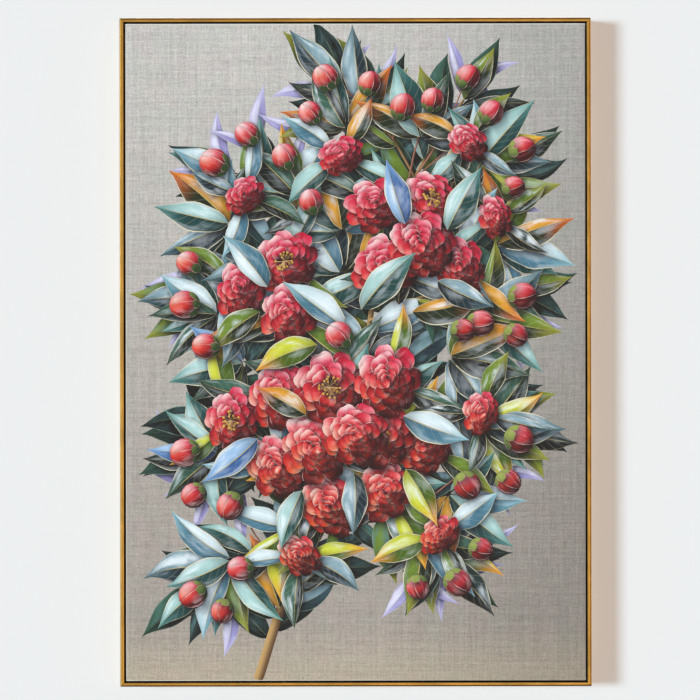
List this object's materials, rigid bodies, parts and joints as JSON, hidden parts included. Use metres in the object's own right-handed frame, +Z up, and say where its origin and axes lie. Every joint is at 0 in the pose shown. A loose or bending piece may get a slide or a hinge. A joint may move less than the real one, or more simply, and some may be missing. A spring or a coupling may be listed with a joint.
{
  "type": "framed canvas picture",
  "caption": "Stretched linen canvas with a painted blossom-and-leaf design in a slim gold floater frame, with bars, brace, wedges and sawtooth hangers; hangs upright on a wall.",
  "frame": {"origin": "on the wall, on the picture's upright centre line, level with the teeth of the two hangers", "axes": "+Z up, +Y into the wall, the picture faces -Y, +X to the right of someone looking at it"},
  "size_m": [0.7168, 0.0415, 1.0168],
  "materials": {
    "gold_moulding": "satin",
    "linen": "matte",
    "pine": "matte",
    "beech": "matte",
    "zinc_steel": "satin",
    "grey_felt": "matte"
  },
  "bodies": {
    "root": {"brace_plate_left": "zinc_steel", "brace_plate_right": "zinc_steel", "canvas": "linen", "cross_brace": "pine", "frame_bottom": "gold_moulding", "frame_left": "gold_moulding", "frame_right": "gold_moulding", "frame_screw_bottom_1": "zinc_steel", "frame_screw_bottom_2": "zinc_steel", "frame_screw_left_1": "zinc_steel", "frame_screw_left_2": "zinc_steel", "frame_screw_left_3": "zinc_steel", "frame_screw_right_1": "zinc_steel", "frame_screw_right_2": "zinc_steel", "frame_screw_right_3": "zinc_steel", "frame_screw_top_1": "zinc_steel", "frame_screw_top_2": "zinc_steel", "frame_top": "gold_moulding", "hanger_left": "zinc_steel", "hanger_right": "zinc_steel", "hanger_screw_left_1": "zinc_steel", "hanger_screw_left_2": "zinc_steel", "hanger_screw_right_1": "zinc_steel", "hanger_screw_right_2": "zinc_steel", "pad_lower_left": "grey_felt", "pad_lower_right": "grey_felt", "pad_upper_left": "grey_felt", "pad_upper_right": "grey_felt", "plate_screw_left_1": "zinc_steel", "plate_screw_left_2": "zinc_steel", "plate_screw_right_1": "zinc_steel", "plate_screw_right_2": "zinc_steel", "stretcher_bottom": "pine", "stretcher_left": "pine", "stretcher_right": "pine", "stretcher_top": "pine", "wedge_bottom_left": "beech", "wedge_bottom_right": "beech", "wedge_left_bottom": "beech", "wedge_left_top": "beech", "wedge_right_bottom": "beech", "wedge_right_top": "beech", "wedge_top_left": "beech", "wedge_top_right": "beech"}
  },
  "joints": []
}
